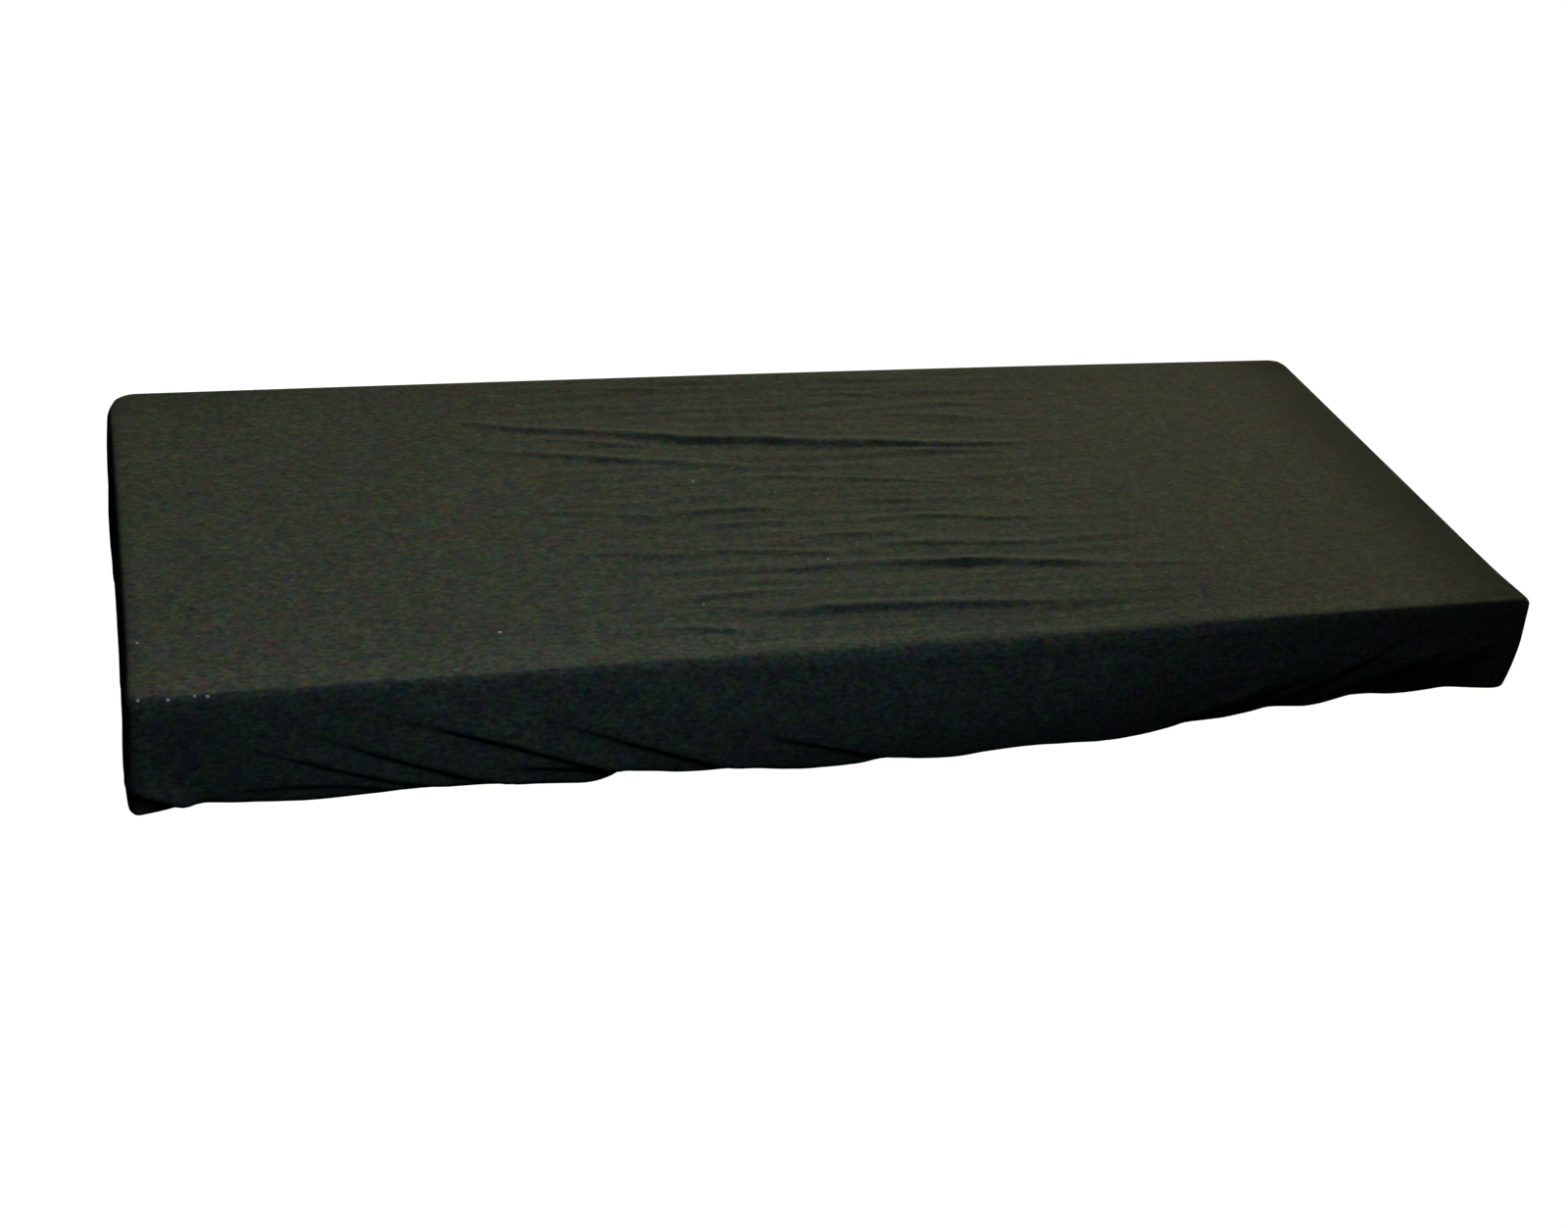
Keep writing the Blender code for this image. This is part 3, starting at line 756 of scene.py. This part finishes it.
class Nodes:
    """Adds shader nodes to a material and links them."""

    def __init__(self, tree):
        self.tree = tree

    def add(self, kind, inputs=(), **settings):
        """A new node with its settings made and its inputs set or linked."""
        node = self.tree.nodes.new(kind)
        for name, value in settings.items():
            setattr(node, name, value)
        for name, value in dict(inputs).items():
            self.set(node.inputs[name], value)
        return node

    def set(self, socket, value):
        """Links an input to another node's output, or gives it a plain value."""
        if isinstance(value, bpy.types.NodeSocket):
            self.tree.links.new(value, socket)
        else:
            socket.default_value = value

    def math(self, operation, first, second=0.0, third=0.0):
        """What one operation makes of up to three values."""
        inputs = {0: first, 1: second, 2: third}
        return self.add("ShaderNodeMath", inputs, operation=operation).outputs[0]

    def ramp(self, value, low, high):
        """0 to 1 as value goes from low to high, smoothly."""
        inputs = {"Value": value, "From Min": low, "From Max": high}
        return self.add("ShaderNodeMapRange", inputs, interpolation_type="SMOOTHSTEP").outputs[0]

    def noise(self, place, scale, detail=2.0, roughness=0.5):
        """A cloudy pattern that changes this often in a metre."""
        inputs = {"Vector": place, "Scale": scale, "Detail": detail, "Roughness": roughness}
        return self.add("ShaderNodeTexNoise", inputs)

    def scaled(self, place, scale):
        """A place stretched by its own factor in each direction."""
        inputs = {"Vector": place, "Scale": scale}
        return self.add("ShaderNodeMapping", inputs).outputs[0]

    def mix(self, share, first, second, blend_type="MIX"):
        """The first colour turned by this share into the second, or into their product for MULTIPLY."""
        node = self.add("ShaderNodeMix", data_type="RGBA", blend_type=blend_type)
        for name, value in (("Factor_Float", share), ("A_Color", first), ("B_Color", second)):
            socket = next(socket for socket in node.inputs if socket.identifier == name)
            self.set(socket, value)
        return next(socket for socket in node.outputs if socket.identifier == "Result_Color")


def opaque(colour):
    """A colour with its alpha, which is full."""
    return (*colour, 1.0)


def knit_relief(nodes, knit):
    """Height of the knit's loops, 0 to 1: columns of loops whose two legs slant up to the middle."""
    place = nodes.add("ShaderNodeSeparateXYZ", {0: knit})
    column = nodes.math("DIVIDE", place.outputs["X"], LOOP_WIDTH)
    leg = nodes.math("PINGPONG", column, 0.5)
    row = nodes.math("DIVIDE", place.outputs["Y"], LOOP_HEIGHT)
    slanted = nodes.math("MULTIPLY_ADD", leg, LOOP_SLANT * 2, row)
    wave = nodes.math("SINE", nodes.math("MULTIPLY", slanted, 2 * math.pi))
    valley = nodes.math("SINE", nodes.math("MULTIPLY", leg, 2 * math.pi))
    return nodes.math("MULTIPLY", nodes.math("MULTIPLY_ADD", wave, LOOP_WAVE, 1 - LOOP_WAVE), valley)


def lint_mask(nodes, place):
    """1 on the specks of lint, and 0 elsewhere."""
    mask = 0.0
    for speck in SPECKS:
        inputs = {0: place, 1: speck[:3]}
        away = nodes.add("ShaderNodeVectorMath", inputs, operation="DISTANCE").outputs["Value"]
        mask = nodes.math("MAXIMUM", nodes.math("LESS_THAN", away, speck.radius), mask)
    return mask


def cloth_black(nodes, place, patches):
    """The cloth's black: lighter in patches and along the front edge, and darkened by painted shade at the
    right end and the back.
    """
    axes = nodes.add("ShaderNodeSeparateXYZ", {0: place})
    # The colour is lighter in patches and along the front edge of the top
    near_front = nodes.ramp(axes.outputs["Y"], *EDGE_LIGHTER_Y)
    on_top = nodes.ramp(axes.outputs["Z"], *EDGE_LIGHTER_Z)
    on_edge = nodes.math("MULTIPLY", near_front, on_top)
    lighter_share = nodes.math("MULTIPLY_ADD", on_edge, EDGE_LIGHTER, nodes.ramp(patches, *PATCHES_FADED))
    colour = nodes.mix(lighter_share, opaque(BLACK), opaque(LIGHTER_BLACK))
    # Painted shade: the colour is darkened towards the right end, apart from the front side, and towards the
    # back
    near_right = nodes.ramp(axes.outputs["X"], *PAINTED_SHADE_RIGHT_X)
    off_front = nodes.ramp(axes.outputs["Y"], *PAINTED_SHADE_RIGHT_Y)
    right = nodes.math("MULTIPLY", nodes.math("MULTIPLY", near_right, off_front), PAINTED_SHADE_RIGHT)
    near_back = nodes.ramp(axes.outputs["Y"], *PAINTED_SHADE_BACK_Y)
    painted_shade = nodes.math("MULTIPLY_ADD", near_back, PAINTED_SHADE_BACK, right)
    return nodes.mix(painted_shade, colour, opaque((0.0, 0.0, 0.0)))


def knit_material():
    """Black stretch knit: loops, colour speckle, streaks along the cover, lighter patches and front edge,
    painted shade at the right end and the back, and some lint.
    """
    material = bpy.data.materials.new("black_stretch_knit")
    material.use_nodes = True
    tree = material.node_tree
    shader = tree.nodes["Principled BSDF"]
    nodes = Nodes(tree)
    place = nodes.add("ShaderNodeTexCoord").outputs["Object"]
    knit = nodes.add("ShaderNodeUVMap", uv_map=KNIT_MAP).outputs[0]

    loops = knit_relief(nodes, knit)
    patches = nodes.noise(place, PATCH_SCALE, detail=3.0).outputs["Fac"]
    streaks = nodes.noise(nodes.scaled(place, STREAK_SCALES), 1.0, detail=3.0).outputs["Fac"]
    flecks = nodes.noise(nodes.scaled(place, FLECK_SCALES), 1.0, detail=3.0, roughness=0.7)
    blotches = nodes.noise(place, BLOTCH_SCALE, roughness=0.6).outputs["Color"]

    colour = cloth_black(nodes, place, patches)
    variations = (
        (flecks.outputs["Color"], HUES),
        (flecks.outputs["Fac"], SPECKLE),
        (blotches, BLOTCHES),
    )
    for variation, strength in variations:
        spread = {0: variation, 1: (strength,) * 3, 2: (1 - strength / 2,) * 3}
        tint = nodes.add("ShaderNodeVectorMath", spread, operation="MULTIPLY_ADD").outputs[0]
        tint = nodes.add("ShaderNodeVectorMath", {0: tint, 1: (DARKEST,) * 3}, operation="MAXIMUM").outputs[0]
        colour = nodes.mix(1.0, colour, tint, "MULTIPLY")
    streak_shade = nodes.math("MULTIPLY_ADD", streaks, STREAK_SHADE, 1 - STREAK_SHADE / 2)
    loop_shade = nodes.math("MULTIPLY_ADD", loops, LOOP_SHADE, 1 - LOOP_SHADE / 2)
    shade = nodes.math("MULTIPLY", streak_shade, loop_shade)
    grey = nodes.add("ShaderNodeCombineXYZ", {0: shade, 1: shade, 2: shade}).outputs[0]
    colour = nodes.mix(1.0, colour, grey, "MULTIPLY")
    colour = nodes.mix(lint_mask(nodes, place), colour, opaque(LINT))
    nodes.set(shader.inputs["Base Color"], colour)
    roughness = nodes.math("MULTIPLY_ADD", patches, PATCH_ROUGHNESS, ROUGHNESS)
    nodes.set(shader.inputs["Roughness"], roughness)
    for name, value in SHADER_SETTINGS.items():
        shader.inputs[name].default_value = value

    inputs = {"Strength": 1.0, "Distance": STREAK_RELIEF, "Height": streaks}
    streak_bump = nodes.add("ShaderNodeBump", inputs).outputs[0]
    inputs = {"Strength": 1.0, "Distance": LOOP_RELIEF, "Height": loops, "Normal": streak_bump}
    nodes.set(shader.inputs["Normal"], nodes.add("ShaderNodeBump", inputs).outputs[0])
    return material


def make_cover():
    """The cloth: its outer side with fewer faces where it is smooth, given its thickness."""
    cover = bpy.data.objects.new("cover_cloth", cloth_surface())
    bpy.context.scene.collection.objects.link(cover)
    cover.data.materials.append(knit_material())
    thinned = cover.modifiers.new("fewer faces where it is smooth", "DECIMATE")
    thinned.ratio = KEPT_FACES
    cloth = cover.modifiers.new("cloth thickness", "SOLIDIFY")
    cloth.thickness = THICK
    cloth.offset = -1
    cloth.use_rim = True
    cover.data.shade_smooth()
    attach(cover, BODY)
    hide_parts(NODE)


def make_camera():
    """The camera at the photograph's viewpoint."""
    data = bpy.data.cameras.new("camera")
    data.lens = CAMERA_LENS
    data.sensor_width = SENSOR
    data.clip_end = CAMERA_REACH
    camera = bpy.data.objects.new("camera", data)
    turn = Matrix((CAMERA_RIGHT, CAMERA_UP, CAMERA_BACK)).transposed()
    camera.matrix_world = Matrix.Translation(CAMERA_PLACE) @ turn.to_4x4()
    bpy.context.scene.collection.objects.link(camera)
    bpy.context.scene.camera = camera


def add_light(light):
    """A rectangular light, which the camera doesn't see."""
    data = bpy.data.lights.new(light.name, "AREA")
    data.shape = "RECTANGLE"
    data.size = light.width
    data.size_y = light.height
    data.energy = light.power
    data.color = light.colour
    lamp = bpy.data.objects.new(light.name, data)
    lamp.location = light.place
    lamp.rotation_euler = (Vector(light.place) - Vector(light.target)).to_track_quat("Z", "Y").to_euler()
    lamp.visible_camera = False
    bpy.context.scene.collection.objects.link(lamp)


def make_lights():
    """The studio's lights, and the dim light all round."""
    for light in LIGHTS:
        add_light(light)
    world = bpy.data.worlds.new("dim_room")
    world.use_nodes = True
    background = world.node_tree.nodes["Background"]
    background.inputs["Color"].default_value = opaque(ROOM_COLOUR)
    background.inputs["Strength"].default_value = ROOM_STRENGTH
    bpy.context.scene.world = world


def plain_material(name, colour, glow):
    """A matt material that glows white."""
    material = bpy.data.materials.new(name)
    material.use_nodes = True
    shader = material.node_tree.nodes["Principled BSDF"]
    shader.inputs["Base Color"].default_value = opaque(colour)
    shader.inputs["Roughness"].default_value = 1.0
    shader.inputs["Specular IOR Level"].default_value = 0.0
    shader.inputs["Emission Color"].default_value = opaque((1.0, 1.0, 1.0))
    shader.inputs["Emission Strength"].default_value = glow
    return material


def add_stage(name, mesh, material):
    """A piece of the studio, which is seen but throws no light on the cover."""
    piece = bpy.data.objects.new(name, mesh)
    mesh.materials.append(material)
    bpy.context.scene.collection.objects.link(piece)
    piece.visible_diffuse = False
    piece.visible_glossy = False
    piece.visible_shadow = False
    return piece


def make_stage():
    """The floor, and the dome that surrounds everything."""
    floor = bmesh.new()
    bmesh.ops.create_grid(floor, x_segments=1, y_segments=1, size=STUDIO_RADIUS)
    mesh = bpy.data.meshes.new("floor")
    floor.to_mesh(mesh)
    floor.free()
    floor_piece = add_stage("floor", mesh, plain_material("pale_floor", FLOOR_COLOUR, FLOOR_GLOW))
    floor_piece.location.z = FLOOR_LEVEL

    dome = bmesh.new()
    bmesh.ops.create_uvsphere(dome, u_segments=48, v_segments=24, radius=STUDIO_RADIUS)
    mesh = bpy.data.meshes.new("backdrop")
    dome.to_mesh(mesh)
    dome.free()
    add_stage("backdrop", mesh, plain_material("white_backdrop", DOME_COLOUR, DOME_GLOW))


make_cover()
make_camera()
make_lights()
make_stage()
bpy.context.scene.view_settings.view_transform = "Standard"
